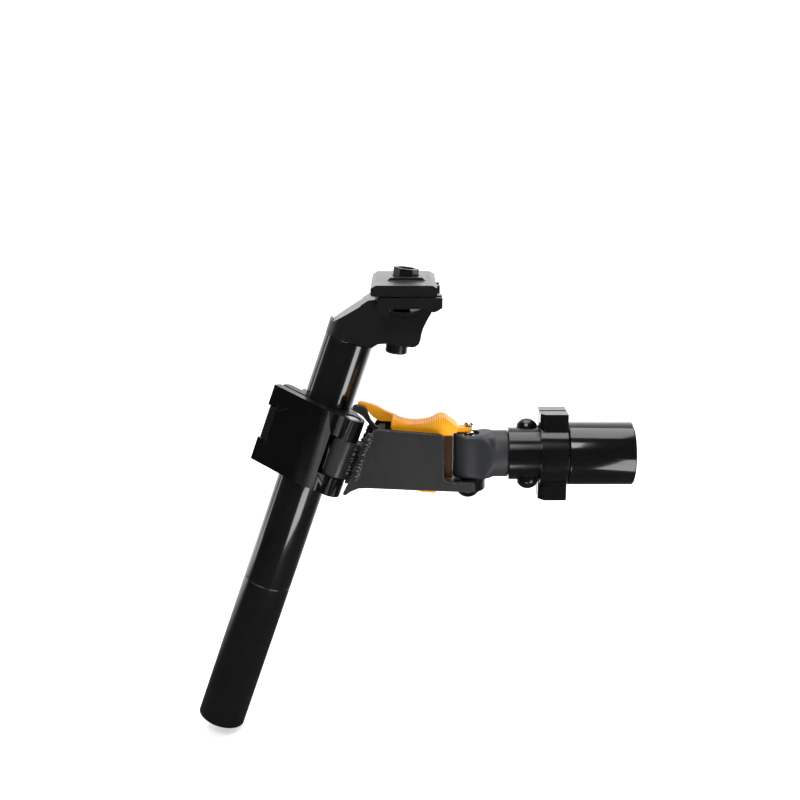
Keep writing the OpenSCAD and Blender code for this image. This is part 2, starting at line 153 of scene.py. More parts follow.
# handling scuffs: short thin lines from a strongly stretched noise, only in a few patches
def makeScuffs():
    group, gIn, gOut = newGroup(
        "handlingScuffs",
        [("Density", "NodeSocketFloat", 0.5), ("Scale", "NodeSocketFloat", 90.0)],
        [("Mask", "NodeSocketFloat")],
    )
    streaks = noiseNode(group, objectCoords(group, (1.2, 1.2, 26.0)), gIn.outputs["Scale"], 2.0, 0.5)
    spotScale = mathNode(group, "MULTIPLY", gIn.outputs["Scale"], 0.8)
    spots = noiseNode(group, objectCoords(group), spotScale, 2.0)
    line = rampNode(group, streaks, 0.66, 0.72)
    where = rampNode(group, spots, 0.54, 0.68)
    mask = mathNode(group, "MULTIPLY", mathNode(group, "MULTIPLY", line, where), gIn.outputs["Density"])
    group.links.new(mask, gOut.inputs["Mask"])
    return group


# settled dust: on faces that look up, patchy
def makeDust():
    group, gIn, gOut = newGroup(
        "settledDust",
        [("Amount", "NodeSocketFloat", 0.2), ("Patch Scale", "NodeSocketFloat", 120.0)],
        [("Mask", "NodeSocketFloat")],
    )
    normal = group.nodes.new("ShaderNodeNewGeometry").outputs["Normal"]
    up = rampNode(group, axisOf(group, normal, "Z"), 0.35, 0.95)
    patch = noiseNode(group, objectCoords(group), gIn.outputs["Patch Scale"], 5.0, 0.7)
    settled = mathNode(group, "MULTIPLY", up, rampNode(group, patch, 0.35, 0.75))
    group.links.new(mathNode(group, "MULTIPLY", settled, gIn.outputs["Amount"]), gOut.inputs["Mask"])
    return group


# painted shade band: darkens the part between two heights where it lies in shadow, fading over a
# millimetre, broken up by noise
def makePaintedShadeBand():
    group, gIn, gOut = newGroup(
        "paintedShadeBand",
        [("Bottom", "NodeSocketFloat", 0.0), ("Top", "NodeSocketFloat", 0.0)],
        [("Mask", "NodeSocketFloat")],
    )
    coords = objectCoords(group)
    offCentre = mathNode(group, "SUBTRACT", noiseNode(group, coords, 300.0), 0.5)
    wander = mathNode(group, "MULTIPLY", offCentre, 1.5 * mm)
    height = mathNode(group, "ADD", axisOf(group, coords, "Z"), wander)
    above = riseNode(group, height, gIn.outputs["Bottom"], 1.0 * mm)
    below = riseNode(group, gIn.outputs["Top"], height, 1.0 * mm)
    group.links.new(mathNode(group, "MULTIPLY", above, below), gOut.inputs["Mask"])
    return group


# painted rib shade: fine dark lines across the thumb rest that paint the shade in its rib grooves, evenly
# spaced along X, from a start and a height on
def makePaintedRibShade():
    group, gIn, gOut = newGroup(
        "paintedRibShade",
        [
            ("Pitch", "NodeSocketFloat", 0.0011),
            ("Start", "NodeSocketFloat", 0.0),
            ("Base", "NodeSocketFloat", 0.0),
        ],
        [("Mask", "NodeSocketFloat")],
    )
    coords = objectCoords(group)
    along = axisOf(group, coords, "X")
    turns = mathNode(group, "MULTIPLY", mathNode(group, "DIVIDE", along, gIn.outputs["Pitch"]), 2 * math.pi)
    line = mathNode(group, "SUBTRACT", mathNode(group, "SINE", turns), 0.1, clamp=True)
    beyond = riseNode(group, along, gIn.outputs["Start"], 0.8 * mm)
    high = riseNode(group, axisOf(group, coords, "Z"), gIn.outputs["Base"], 0.6 * mm)
    where = mathNode(group, "MULTIPLY", beyond, high)
    group.links.new(mathNode(group, "MULTIPLY", line, where), gOut.inputs["Mask"])
    return group


effects = {
    "ribs": makePaintedRibShade(),
    "wear": makeEdgeWear(),
    "grain": makeGrain(),
    "scuffs": makeScuffs(),
    "dust": makeDust(),
    "shadeBand": makePaintedShadeBand(),
}
print("effects ready")


# one entry per finish: paint or metal colour, what shows where it is worn, gloss and texture;
# the rib shade entry is pitch, start, base and colour of painted shade lines over the rib grooves, and the
# shade band entry is bottom, top and colour of a band of painted shade where the latch's web lies in
# shadow, in metres
finishes = {
    "anodised_black": dict(
        color=(0.005, 0.0053, 0.006), worn=(0.05, 0.052, 0.058), metal=0.3,
        rough=0.19, roughDrift=0.07, coat=0.8, coatRough=0.05,
        grain=2600, bump=0.1, scuffs=0.35, wear=0.3, dust=0.02,
    ),
    "forged_black": dict(
        color=(0.006, 0.0061, 0.0066), worn=(0.06, 0.06, 0.065), metal=0.1,
        rough=0.36, roughDrift=0.1, coat=0.3, coatRough=0.22, spec=0.4,
        grain=1700, bump=0.35, scuffs=0.25, wear=0.35, dust=0.03,
    ),
    "clamp_black": dict(
        color=(0.0022, 0.0022, 0.0024), worn=(0.1, 0.1, 0.105), metal=0.0,
        rough=0.32, roughDrift=0.08, coat=0.22, coatRough=0.12, spec=0.14,
        grain=1500, bump=0.3, scuffs=0.3, wear=0.45, dust=0.03,
    ),
    "powder_grey": dict(
        color=(0.0125, 0.0127, 0.0134), worn=(0.13, 0.13, 0.13), metal=0.0,
        rough=0.52, roughDrift=0.1, coat=0.0, coatRough=0.3, spec=0.32,
        grain=1500, bump=1.6, scuffs=0.35, wear=0.4, dust=0.1,
    ),
    "weld_grey": dict(
        color=(0.014, 0.0144, 0.015), worn=(0.2, 0.2, 0.2), metal=0.0,
        rough=0.33, roughDrift=0.15, coat=0.35, coatRough=0.18, spec=0.4,
        grain=1200, bump=0.8, scuffs=0.1, wear=0.6, dust=0.04,
    ),
    "barrel_grey": dict(
        color=(0.03, 0.031, 0.034), worn=(0.2, 0.2, 0.21), metal=0.15,
        rough=0.36, roughDrift=0.1, coat=0.15, coatRough=0.2,
        grain=2000, bump=0.4, scuffs=0.4, wear=0.4, dust=0.02,
    ),
    "black_oxide": dict(
        color=(0.022, 0.022, 0.024), worn=(0.2, 0.2, 0.2), metal=0.7,
        rough=0.3, roughDrift=0.1, coat=0.0, coatRough=0.2,
        grain=2600, bump=0.3, scuffs=0.3, wear=0.5, dust=0.02,
    ),
    "zinc_steel": dict(
        color=(0.42, 0.43, 0.45), worn=(0.6, 0.6, 0.6), metal=1.0,
        rough=0.3, roughDrift=0.12, coat=0.0, coatRough=0.2,
        grain=1900, bump=0.3, scuffs=0.4, wear=0.3, dust=0.02,
    ),
    "stud_chrome": dict(
        color=(0.5, 0.51, 0.53), worn=(0.7, 0.7, 0.7), metal=1.0,
        rough=0.16, roughDrift=0.08, coat=0.0, coatRough=0.1,
        grain=2400, bump=0.15, scuffs=0.3, wear=0.2, dust=0.0,
    ),
    "bronze": dict(
        color=(0.3, 0.18, 0.07), worn=(0.5, 0.35, 0.17), metal=1.0,
        rough=0.35, roughDrift=0.12, coat=0.0, coatRough=0.2,
        grain=1800, bump=0.3, scuffs=0.3, wear=0.2, dust=0.0,
    ),
    "latch_orange": dict(
        color=(0.82, 0.335, 0.006), worn=(1.0, 0.55, 0.1), metal=0.0,
        rough=0.42, roughDrift=0.08, coat=0.06, coatRough=0.3, spec=0.22,
        grain=2300, bump=0.35, scuffs=0.2, wear=0.25, dust=0.02,
        # painted shade lines over the rib grooves of the thumb rest
        ribs=(0.00115, 0.0762, 0.0918, (0.36, 0.11, 0.003)),
        # painted shade: the latch's web between these heights is darkened where it lies in shadow
        shadeBand=(0.0625, 0.0872, (0.03, 0.011, 0.002)),
    ),
    "tongue_slate": dict(
        color=(0.018, 0.0189, 0.0217), worn=(0.1, 0.105, 0.115), metal=0.0,
        rough=0.46, roughDrift=0.08, coat=0.05, coatRough=0.35, spec=0.34,
        grain=1900, bump=0.5, scuffs=0.25, wear=0.25, dust=0.03,
    ),
    "sleeve_black": dict(
        color=(0.0032, 0.0033, 0.0036), worn=(0.08, 0.08, 0.085), metal=0.0,
        rough=0.2, roughDrift=0.06, coat=0.35, coatRough=0.15, spec=0.22,
        grain=1700, bump=0.3, scuffs=0.25, wear=0.3, dust=0.03,
    ),
    "spigot_black": dict(
        color=(0.003, 0.0031, 0.0034), worn=(0.1, 0.1, 0.105), metal=0.0,
        rough=0.15, roughDrift=0.05, coat=0.5, coatRough=0.08, spec=0.25,
        grain=1500, bump=0.3, scuffs=0.3, wear=0.4, dust=0.03,
    ),
}


def placeGroup(tree, key, values):
    node = tree.nodes.new("ShaderNodeGroup")
    node.node_tree = effects[key]
    for label, value in values.items():
        node.inputs[label].default_value = value
    return node


def mixColor(tree, factor, a, b):
    node = tree.nodes.new("ShaderNodeMix")
    node.data_type = "RGBA"
    tree.links.new(factor, node.inputs["Factor"])
    for value, socket in ((a, node.inputs["A"]), (b, node.inputs["B"])):
        if isinstance(value, tuple):
            socket.default_value = (*value, 1.0)
        else:
            tree.links.new(value, socket)
    return node.outputs["Result"]


# values that all finishes have in common
everyFinish = dict(
    wearLow=0.45, wearHigh=0.72, wearBreakup=520.0, scuffScale=85.0, dustScale=150.0, driftScale=45.0,
    driftFrom=0.3, driftTo=0.7, darker=0.86, lighter=1.12, scuffTint=0.35, scuffRough=0.25, dustRough=0.5,
    dustColor=(0.3, 0.29, 0.27), ribShadeTint=0.75, bumpDistance=0.05 * mm,
)


def makeFinish(name, f):
    material = bpy.data.materials.new(name)
    material.use_nodes = True
    tree = material.node_tree
    surface = tree.nodes["Principled BSDF"]
    grainScales = {"Grain Scale": f["grain"], "Drift Scale": everyFinish["driftScale"]}
    grain = placeGroup(tree, "grain", grainScales)
    wear = placeGroup(tree, "wear", {
        "Low": everyFinish["wearLow"],
        "High": everyFinish["wearHigh"],
        "Breakup": everyFinish["wearBreakup"],
    })
    scuffs = placeGroup(tree, "scuffs", {"Density": f["scuffs"], "Scale": everyFinish["scuffScale"]})
    dust = placeGroup(tree, "dust", {"Amount": f["dust"], "Patch Scale": everyFinish["dustScale"]})
    dark = tuple(c * everyFinish["darker"] for c in f["color"])
    light = tuple(min(1.0, c * everyFinish["lighter"]) for c in f["color"])
    drift = rampNode(tree, grain.outputs["Drift"], everyFinish["driftFrom"], everyFinish["driftTo"])
    base = mixColor(tree, drift, dark, light)
    wearMask = mathNode(tree, "MULTIPLY", wear.outputs["Mask"], f["wear"], clamp=True)
    base = mixColor(tree, wearMask, base, f["worn"])
    scuffMask = mathNode(tree, "MULTIPLY", scuffs.outputs["Mask"], everyFinish["scuffTint"])
    base = mixColor(tree, scuffMask, base, f["worn"])
    base = mixColor(tree, dust.outputs["Mask"], base, everyFinish["dustColor"])
    # painted shade: dark lines laid over the rib grooves
    if "ribs" in f:
        pitch, start, bottom, shade = f["ribs"]
        ribs = placeGroup(tree, "ribs", {"Pitch": pitch, "Start": start, "Base": bottom})
        ribShadeMask = mathNode(tree, "MULTIPLY", ribs.outputs["Mask"], everyFinish["ribShadeTint"])
        base = mixColor(tree, ribShadeMask, base, shade)
    # painted shade: a dark band where the latch's web lies in shadow
    if "shadeBand" in f:
        bottom, top, shadowTone = f["shadeBand"]
        shadeBand = placeGroup(tree, "shadeBand", {"Bottom": bottom, "Top": top})
        base = mixColor(tree, shadeBand.outputs["Mask"], base, shadowTone)
    tree.links.new(base, surface.inputs["Base Color"])
    offCentre = mathNode(tree, "SUBTRACT", grain.outputs["Drift"], 0.5)
    rough = mathNode(tree, "ADD", mathNode(tree, "MULTIPLY", offCentre, f["roughDrift"] * 2), f["rough"])
    scuffRough = mathNode(tree, "MULTIPLY", scuffs.outputs["Mask"], everyFinish["scuffRough"])
    rough = mathNode(tree, "ADD", rough, scuffRough)
    dustRough = mathNode(tree, "MULTIPLY", dust.outputs["Mask"], everyFinish["dustRough"])
    rough = mathNode(tree, "ADD", rough, dustRough, clamp=True)
    tree.links.new(rough, surface.inputs["Roughness"])
    surface.inputs["Metallic"].default_value = f["metal"]
    surface.inputs["Specular IOR Level"].default_value = f.get("spec", 0.5)
    surface.inputs["Coat Weight"].default_value = f["coat"]
    surface.inputs["Coat Roughness"].default_value = f["coatRough"]
    bump = tree.nodes.new("ShaderNodeBump")
    bump.inputs["Strength"].default_value = f["bump"]
    bump.inputs["Distance"].default_value = everyFinish["bumpDistance"]
    tree.links.new(grain.outputs["Height"], bump.inputs["Height"])
    tree.links.new(bump.outputs["Normal"], surface.inputs["Normal"])
    return material


materials = {name: makeFinish(name, f) for name, f in finishes.items()}
for name, node in frame["nodes"].items():
    node.data.materials.clear()
    node.data.materials.append(materials[slotOf[name]])
print("finishes ready,", len(materials))


# corners sharper than cornerAngle are rounded; nearly flat faces become one first
edgeBreak = dict(merge=0.002 * mm, flatAngle=0.6, cornerAngle=28, smoothUnder=40)
# edge radius in mm and how many steps it has
edges = {
    "post_head": (1.5, 4), "hitch_clamp": (1.0, 4), "clamp_nut_plate": (0.35, 2),
    "clamp_bolts": (0.35, 2), "clamp_washers": (0.15, 2), "hinge_pin": (0.2, 2),
    "hinge_pin_clips": (0.15, 2), "rail_cradle": (0.5, 3), "rail_cap": (0.9, 3),
    "rail_bolt": (0.4, 3), "rail_washer": (0.25, 2), "rail_nut": (0.4, 2),
    "bracket_channel": (0.5, 3), "bracket_web": (0.6, 3), "bracket_lip": (1.1, 4),
    "release_latch": (1.1, 4), "sleeve_upper": (0.5, 3), "sleeve_lower": (0.5, 3),
    "collar_near": (1.1, 4), "collar_far": (1.1, 4), "collar_screws": (0.35, 2),
    "shaft_washer": (0.25, 2),
}


def newObject(name, data):
    obj = bpy.data.objects.new(name, data)
    bpy.context.scene.collection.objects.link(obj)
    return obj


# the piece rides the node's body, takes its finish and stands in for it
def place(obj, node, smoothUnder):
    mesh = obj.data
    mesh.materials.clear()
    mesh.materials.append(materials[slotOf[node]])
    mesh.shade_smooth()
    if smoothUnder:
        mesh.set_sharp_from_angle(angle=math.radians(smoothUnder))
    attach(obj, bodyOf[node])
    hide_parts(node)


# a mesh with its normals outward; points closer than merge become one
def meshFrom(name, verts, faces, merge=None):
    mesh = bpy.data.meshes.new(name)
    mesh.from_pydata(verts.tolist(), [], faces)
    bm = bmesh.new()
    bm.from_mesh(mesh)
    if merge:
        bmesh.ops.remove_doubles(bm, verts=bm.verts, dist=merge)
    bmesh.ops.recalc_face_normals(bm, faces=bm.faces)
    bm.to_mesh(mesh)
    bm.free()
    return mesh


# a merged copy of the CAD mesh, its corners rounded, and the rounded faces marked for wear
def brokenEdges(node, radius, steps):
    mesh = frame["nodes"][node].data.copy()
    bm = bmesh.new()
    bm.from_mesh(mesh)
    bmesh.ops.remove_doubles(bm, verts=bm.verts, dist=edgeBreak["merge"])
    flat = math.radians(edgeBreak["flatAngle"])
    bmesh.ops.dissolve_limit(bm, angle_limit=flat, verts=bm.verts, edges=bm.edges)
    limit = math.radians(edgeBreak["cornerAngle"])
    corners = [e for e in bm.edges if len(e.link_faces) == 2 and e.calc_face_angle(0) > limit]
    rounded = bmesh.ops.bevel(
        bm, geom=corners, offset=radius * mm, offset_type="OFFSET", segments=steps,
        profile=0.5, affect="EDGES", clamp_overlap=True,
    )
    marked = bm.loops.layers.float.new("broken")
    for face in rounded["faces"]:
        for loop in face.loops:
            loop[marked] = 1.0
    bm.to_mesh(mesh)
    bm.free()
    obj = newObject(node + "_piece", mesh)
    weighted = obj.modifiers.new("flatFaces", "WEIGHTED_NORMAL")
    weighted.keep_sharp = True
    place(obj, node, edgeBreak["smoothUnder"])


for node, (radius, steps) in edges.items():
    brokenEdges(node, radius, steps)
print("edges broken on", len(edges), "pieces")


# the post's lean, and the hinge's Y and the tow line's height in mm
lean = math.radians(19)
postAxis = np.array([math.sin(lean), 0, math.cos(lean)])
postAcross = np.array([math.cos(lean), 0, -math.sin(lean)])
hingeY = -17.5
towHeight = 75.7


# each corner C becomes a quadratic curve from a point A before it to a point B after it:
# (1 - t) squared times A, plus 2 t (1 - t) times C, plus t squared times B
def softProfile(points, radius):
    p = np.array(points, float)
    before, after = np.roll(p, 1, 0) - p, np.roll(p, -1, 0) - p
    lengthBefore = np.linalg.norm(before, axis=1, keepdims=True)
    lengthAfter = np.linalg.norm(after, axis=1, keepdims=True)
    a = p + before / lengthBefore * np.minimum(radius, 0.45 * lengthBefore)
    b = p + after / lengthAfter * np.minimum(radius, 0.45 * lengthAfter)
    t = np.linspace(0, 1, 5)[None, :, None]
    curve = (1 - t) ** 2 * a[:, None] + 2 * t * (1 - t) * p[:, None] + t ** 2 * b[:, None]
    return curve.reshape(-1, 2)


# a dome over a flat rim: height is top minus R plus the root of R squared minus r squared
def domeProfile(radius, rim, height, bore, depth):
    ball = (radius ** 2 + (height - rim) ** 2) / (2 * (height - rim))
    r = np.linspace(radius, 0.01, 16)
    arc = np.stack([r, height - ball + np.sqrt(ball ** 2 - r ** 2)], 1)
    rimPoints = [[bore, 0.0], [radius - 0.15, 0.0], [radius, 0.15]]
    return np.concatenate([rimPoints, arc, [[0.01, depth], [bore, depth]]])


# one four-sided face for each cell of a grid of points; the columns wrap round, and so do closed rows
def gridFaces(rows, columns, closedRows=True):
    i = np.arange(rows if closedRows else rows - 1)[:, None]
    j = np.arange(columns)[None, :]
    here, ahead, right = i * columns, (i + 1) % rows * columns, (j + 1) % columns
    return np.stack([here + j, here + right, ahead + right, ahead + j], -1).reshape(-1, 4)


def ringAngles(steps):
    return np.linspace(0, 2 * math.pi, steps, endpoint=False)


# the profile (r, h) turned about an axis: origin + h times the axis + r times (cos a, sin a) across it
def turned(profile, origin, axis, steps):
    axis = np.array(axis, float) / np.linalg.norm(axis)
    across = np.cross(axis, [0.0, 1.0, 0.0] if abs(axis[1]) < 0.9 else [1.0, 0.0, 0.0])
    across /= np.linalg.norm(across)
    other = np.cross(axis, across)
    a = ringAngles(steps)
    ring = np.cos(a)[:, None] * across + np.sin(a)[:, None] * other
    r, h = profile[:, 0][:, None, None], profile[:, 1][:, None, None]
    verts = np.array(origin) + h * axis + r * ring[None]
    return verts.reshape(-1, 3), gridFaces(len(profile), steps)


turning = dict(merge=0.0001 * mm, smoothUnder=32)


# turned parts joined into one piece
def turnedPiece(name, node, parts):
    offsets = np.cumsum([0] + [len(v) for v, f in parts[:-1]])
    verts = np.concatenate([v for v, f in parts]) * mm
    faces = np.concatenate([f + o for (v, f), o in zip(parts, offsets)])
    mesh = meshFrom(name, verts, faces.tolist(), merge=turning["merge"])
    place(newObject(name, mesh), node, turning["smoothUnder"])


# sizes in mm; turned profiles are (radius, height) points with their corners rounded
post = dict(radius=12.7, bore=10.6, bottom=-85, top=139, rounding=0.45, around=160)
mark = dict(radius=12.5, low=0.1, high=0.7, end=0.8)
postProfile = softProfile([
    [post["bore"], post["bottom"]],
    [post["radius"], post["bottom"]],
    [post["radius"], 0],
    [mark["radius"], mark["low"]],
    [mark["radius"], mark["high"]],
    [post["radius"], mark["end"]],
    [post["radius"], post["top"]],
    [post["bore"], post["top"]],
], post["rounding"])
turnedPiece("postTube", "post_tube", [turned(postProfile, (0, 0, 0), postAxis, post["around"])])

# the stud has a groove for the latch's fork between two shoulders
stud = dict(
    x=105.3, y=hingeY, bottom=54.8, radius=4, shoulder=29.7, neck=1.7, head=2.4, top=37.2,
    rounding=0.25, around=64,
)
studProfile = softProfile([
    [0.01, 0],
    [stud["radius"], 0],
    [stud["radius"], stud["shoulder"]],
    [3.4, 30.4],
    [stud["head"], 30.6],
    [stud["head"], 32],
    [stud["neck"], 32.4],
    [stud["neck"], 35.5],
    [stud["head"], 35.9],
    [stud["head"], 36.6],
    [1.8, stud["top"]],
    [0.01, stud["top"]],
], stud["rounding"])
studBase = (stud["x"], stud["y"], stud["bottom"])
turnedPiece("kingStud", "king_stud", [turned(studProfile, studBase, (0, 0, 1), stud["around"])])

nut = dict(z=57.9, radius=5.9, rim=1.4, height=5.2, bore=4, depth=3.1, around=72)
nutProfile = domeProfile(nut["radius"], nut["rim"], nut["height"], nut["bore"], nut["depth"])
nutBase = (stud["x"], stud["y"], nut["z"])
turnedPiece("studNut", "stud_nut", [turned(nutProfile, nutBase, (0, 0, -1), nut["around"])])

cap = dict(
    x=134.9, y=hingeY, z=towHeight, roll=20, seat=12.42,
    radius=5.2, rim=2.2, height=5.4, bore=3.02, depth=3.2, around=72,
)
capAxis = np.array([0, math.sin(math.radians(cap["roll"])), math.cos(math.radians(cap["roll"]))])
capProfile = domeProfile(cap["radius"], cap["rim"], cap["height"], cap["bore"], cap["depth"])
capCentre = np.array([cap["x"], cap["y"], cap["z"]])
capParts = [
    turned(capProfile, capCentre + side * cap["seat"] * capAxis, side * capAxis, cap["around"])
    for side in (1, -1)
]
turnedPiece("sleeveCaps", "sleeve_caps", capParts)

spigot = dict(
    start=143.4, shaft=12, bore=10.05, shoulder=11.3, radius=15.9, end=44.3, rounding=0.9, around=128,
)
cavity = dict(radius=14, start=36.6)
spigotProfile = softProfile([
    [spigot["bore"], 0],
    [spigot["shaft"], 0],
    [spigot["shaft"], spigot["shoulder"]],
    [spigot["radius"], spigot["shoulder"]],
    [spigot["radius"], spigot["end"]],
    [cavity["radius"], spigot["end"]],
    [cavity["radius"], cavity["start"]],
    [spigot["bore"], cavity["start"]],
], spigot["rounding"])
spigotBase = (spigot["start"], hingeY, towHeight)
turnedPiece("spigotBody", "spigot", [turned(spigotProfile, spigotBase, (1, 0, 0), spigot["around"])])

barrel = dict(x=14, start=73, length=20.5, radius=5.8, bore=4.25, rounding=0.7, around=80)
hingeBase = barrel["x"] * postAcross + np.array([0, hingeY, 0])
barrelProfile = softProfile([
    [barrel["bore"], 0],
    [barrel["radius"], 0],
    [barrel["radius"], barrel["length"]],
    [barrel["bore"], barrel["length"]],
], barrel["rounding"])
barrelBase = hingeBase + barrel["start"] * postAxis
turnedPiece("hingeBarrel", "hinge_barrel", [turned(barrelProfile, barrelBase, postAxis, barrel["around"])])


# x, y, start, length and radius of each bead, in mm from the hinge, and its ripples
beads = dict(
    edge=(10.6, 9.2, 74.5, 28.0, 2.35), neck=(6.2, 4.2, 74.8, 17.0, 1.6), rows=170, around=20,
    pitch=2.2, unevenness=1.6, ripple=0.16, wander=0.14, sway=0.12, lag=0.35,
)


# the radius is r times (1 + ripple times the clipped cosine of 2 pi h / pitch, plus a slow sine), and
# it runs down to nothing at both ends as the root of 1 minus (2 h - 1) to the 16
def beadLine(x, y, start, length, radius, phase):
    h = np.linspace(0, 1, beads["rows"])
    ends = np.sqrt(np.clip(1 - np.abs(2 * h - 1) ** 16, 1e-6, 1))
    turns = 2 * math.pi * h * length / beads["pitch"] + phase
    wave = np.clip(np.cos(turns + beads["unevenness"] * np.sin(h * 19 + phase)), -0.3, 1)
    slow = beads["wander"] * np.sin(h * 11 + phase)
    r = radius * ends * (1 + beads["ripple"] * (wave - 0.35) + slow)
    sway = beads["sway"] * np.sin(h * 23 + phase * 2)
    centre = hingeBase + (x + sway)[:, None] * postAcross + (start + h * length)[:, None] * postAxis
    centre += np.array([0, y, 0])
    a = ringAngles(beads["around"])
    outward = np.cos(a)[:, None] * (postAcross + beads["lag"] * postAxis)
    ring = outward + np.sin(a)[:, None] * np.array([0, 1, 0])
    verts = centre[:, None, :] + r[:, None, None] * ring[None]
    return verts.reshape(-1, 3), gridFaces(beads["rows"], beads["around"], closedRows=False)


# a fan of triangles closes each end
def closedBead(x, y, start, length, radius, phase):
    verts, quads = beadLine(x, y, start, length, radius, phase)
    around = beads["around"]
    tips = np.stack([verts[:around].mean(0), verts[-around:].mean(0)])
    j = np.arange(around)
    right = (j + 1) % around
    lastRow = len(verts) - around
    first = np.stack([j, right, np.full(around, len(verts))], 1)
    last = np.stack([lastRow + j, lastRow + right, np.full(around, len(verts) + 1)], 1)
    return np.concatenate([verts, tips]), quads, np.concatenate([first, last])


def buildBeads():
    lines = []
    for key, phase in (("edge", 0.0), ("neck", 1.7)):
        x, y, start, length, radius = beads[key]
        lines += [closedBead(x, side * y, start, length, radius, phase + side) for side in (-1, 1)]
    offsets = np.cumsum([0] + [len(line[0]) for line in lines[:-1]])
    verts = np.concatenate([line[0] for line in lines]) * mm
    faces = []
    for line, offset in zip(lines, offsets):
        faces += (line[1] + offset).tolist() + (line[2] + offset).tolist()
    place(newObject("weldBeads", meshFrom("weldBeads", verts, faces)), "weld_beads", None)


buildBeads()
print("turned pieces and weld beads ready")


tongue = dict(
    x=stud["x"], tip=97.55, eyeHalfWidth=7.8, eyeBottom=63.9, eyeTop=86.4, eyePower=9, hole=5.5,
    blendStart=107.5, blendEnd=118.5, barRadius=11.75, barEnd=124.8, shaftRadius=10, shaftEnd=184.5,
    grooveRadius=9, grooveStart=181.9, grooveEnd=183.1, smoothUnder=38,
    noseRings=16, noseFrom=0.06, noseLower=(0.9, 0.45, 0.15), neck=106.4, blendRings=26, around=112,
)
drill = dict(bottom=58.0, top=92.0, around=72)


# x and radius of each ring behind the blend: the bar's rounded end, the shaft, its groove and its tip
def tailRings():
    c = tongue
    bar, shaft, groove = c["barRadius"], c["shaftRadius"], c["grooveRadius"]
    return np.array([
        [c["barEnd"] - 0.6, bar], [c["barEnd"] - 0.2, bar - 0.12], [c["barEnd"], bar - 0.6],
        [c["barEnd"], shaft], [150, shaft], [c["grooveStart"], shaft], [c["grooveStart"], groove],
        [c["grooveEnd"], groove], [c["grooveEnd"], shaft], [c["shaftEnd"] - 0.4, shaft],
        [c["shaftEnd"], shaft - 0.5],
    ])


# cross sections are superellipses |y / w| to the n + |z / h| to the n = 1; from the eye to the bar
# w, h, n and the centre follow a smoothstep, and the eye's nose follows a circle in plan
def tongueMesh():
    c = tongue
    noseAngles = np.linspace(c["noseFrom"], math.pi / 2, c["noseRings"])
    nose = c["x"] - np.cos(noseAngles) * (c["x"] - c["tip"])
    toBar = np.linspace(c["blendStart"], c["blendEnd"], c["blendRings"])
    tail = tailRings()
    x = np.concatenate([nose, [c["neck"]], toBar, tail[:, 0]])
    blend = np.clip((x - c["blendStart"]) / (c["blendEnd"] - c["blendStart"]), 0, 1)
    blend = blend * blend * (3 - 2 * blend)
    inPlan = np.sqrt(np.clip(c["eyeHalfWidth"] ** 2 - np.clip(c["x"] - x, 0, None) ** 2, 0.02, None))
    halfWidth = inPlan * (1 - blend) + c["barRadius"] * blend
    halfHeight = (c["eyeTop"] - c["eyeBottom"]) / 2 * (1 - blend) + c["barRadius"] * blend
    halfHeight[:len(c["noseLower"])] -= c["noseLower"]
    halfWidth[-len(tail):] = tail[:, 1]
    halfHeight[-len(tail):] = tail[:, 1]
    shape = 2 / (c["eyePower"] * (1 - blend) + 2 * blend)[:, None]
    centre = (c["eyeTop"] + c["eyeBottom"]) / 2 * (1 - blend) + towHeight * blend
    a = ringAngles(c["around"])
    y = hingeY + halfWidth[:, None] * np.sign(np.cos(a)) * np.abs(np.cos(a)) ** shape
    z = centre[:, None] + halfHeight[:, None] * np.sign(np.sin(a)) * np.abs(np.sin(a)) ** shape
    verts = np.stack([np.broadcast_to(x[:, None], y.shape), y, z], -1).reshape(-1, 3) * mm
    faces = gridFaces(len(x), len(a), closedRows=False).tolist()
    faces += [list(range(len(a))), list(range(len(verts) - len(a), len(verts)))]
    return meshFrom("tongueBody", verts, faces)


def buildTongue():
    body = newObject("tongueBody", tongueMesh())
    hole = tongue["hole"]
    bottom, top = drill["bottom"], drill["top"]
    profile = np.array([[0.01, bottom], [hole, bottom], [hole, top], [0.01, top]])
    verts, faces = turned(profile, (tongue["x"], hingeY, 0), (0, 0, 1), drill["around"])
    cutter = newObject("drill", meshFrom("drill", verts * mm, faces.tolist(), merge=0.05 * mm))
    cut = body.modifiers.new("eyeHole", "BOOLEAN")
    cut.operation = "DIFFERENCE"
    cut.solver = "EXACT"
    cut.object = cutter
    drilled = bpy.data.meshes.new_from_object(body.evaluated_get(bpy.context.evaluated_depsgraph_get()))
    bpy.data.objects.remove(cutter)
    body.modifiers.clear()
    body.data = drilled
    drilled.name = "tongueBody"
    place(body, "tongue", tongue["smoothUnder"])


buildTongue()
print("tongue ready")


studio = dict(
    floorHeight=-0.088, halfWidth=2.2, front=-1.6, wall=0.9, bend=0.35, wallHeight=2.4,
    columns=24, flatRows=20, bendRows=24, wallRows=12,
    paperColor=0.93, paperRough=0.9, glow=0.42, mirrored=0.03, darkUpTo=0.05, brightFrom=0.5,
    worldLevel=0.06,
)


# a floor that curves up into a wall: y runs back along the floor, then round a quarter circle
def backdropMesh():
    flat = np.linspace(studio["front"], studio["wall"], studio["flatRows"])
    turn = np.linspace(0, math.pi / 2, studio["bendRows"])[1:]
    rise = np.linspace(0, studio["wallHeight"], studio["wallRows"])[1:]
    back = studio["wall"] + studio["bend"] * np.sin(turn)
    y = np.concatenate([flat, back, np.full(len(rise), studio["wall"] + studio["bend"])])
    z = np.concatenate([np.zeros(len(flat)), studio["bend"] * (1 - np.cos(turn)), studio["bend"] + rise])
    u = np.linspace(-studio["halfWidth"], studio["halfWidth"], studio["columns"])
    height = np.tile(z + studio["floorHeight"], len(u))
    verts = np.stack([np.repeat(u, len(y)), np.tile(y, len(u)), height], axis=1)
    i = (np.arange(len(u) - 1)[:, None] * len(y) + np.arange(len(y) - 1)[None, :]).ravel()
    faces = np.stack([i, i + len(y), i + len(y) + 1, i + 1], axis=1)
    mesh = bpy.data.meshes.new("backdrop")
    mesh.from_pydata(verts.tolist(), [], faces.tolist())
    mesh.shade_smooth()
    return mesh


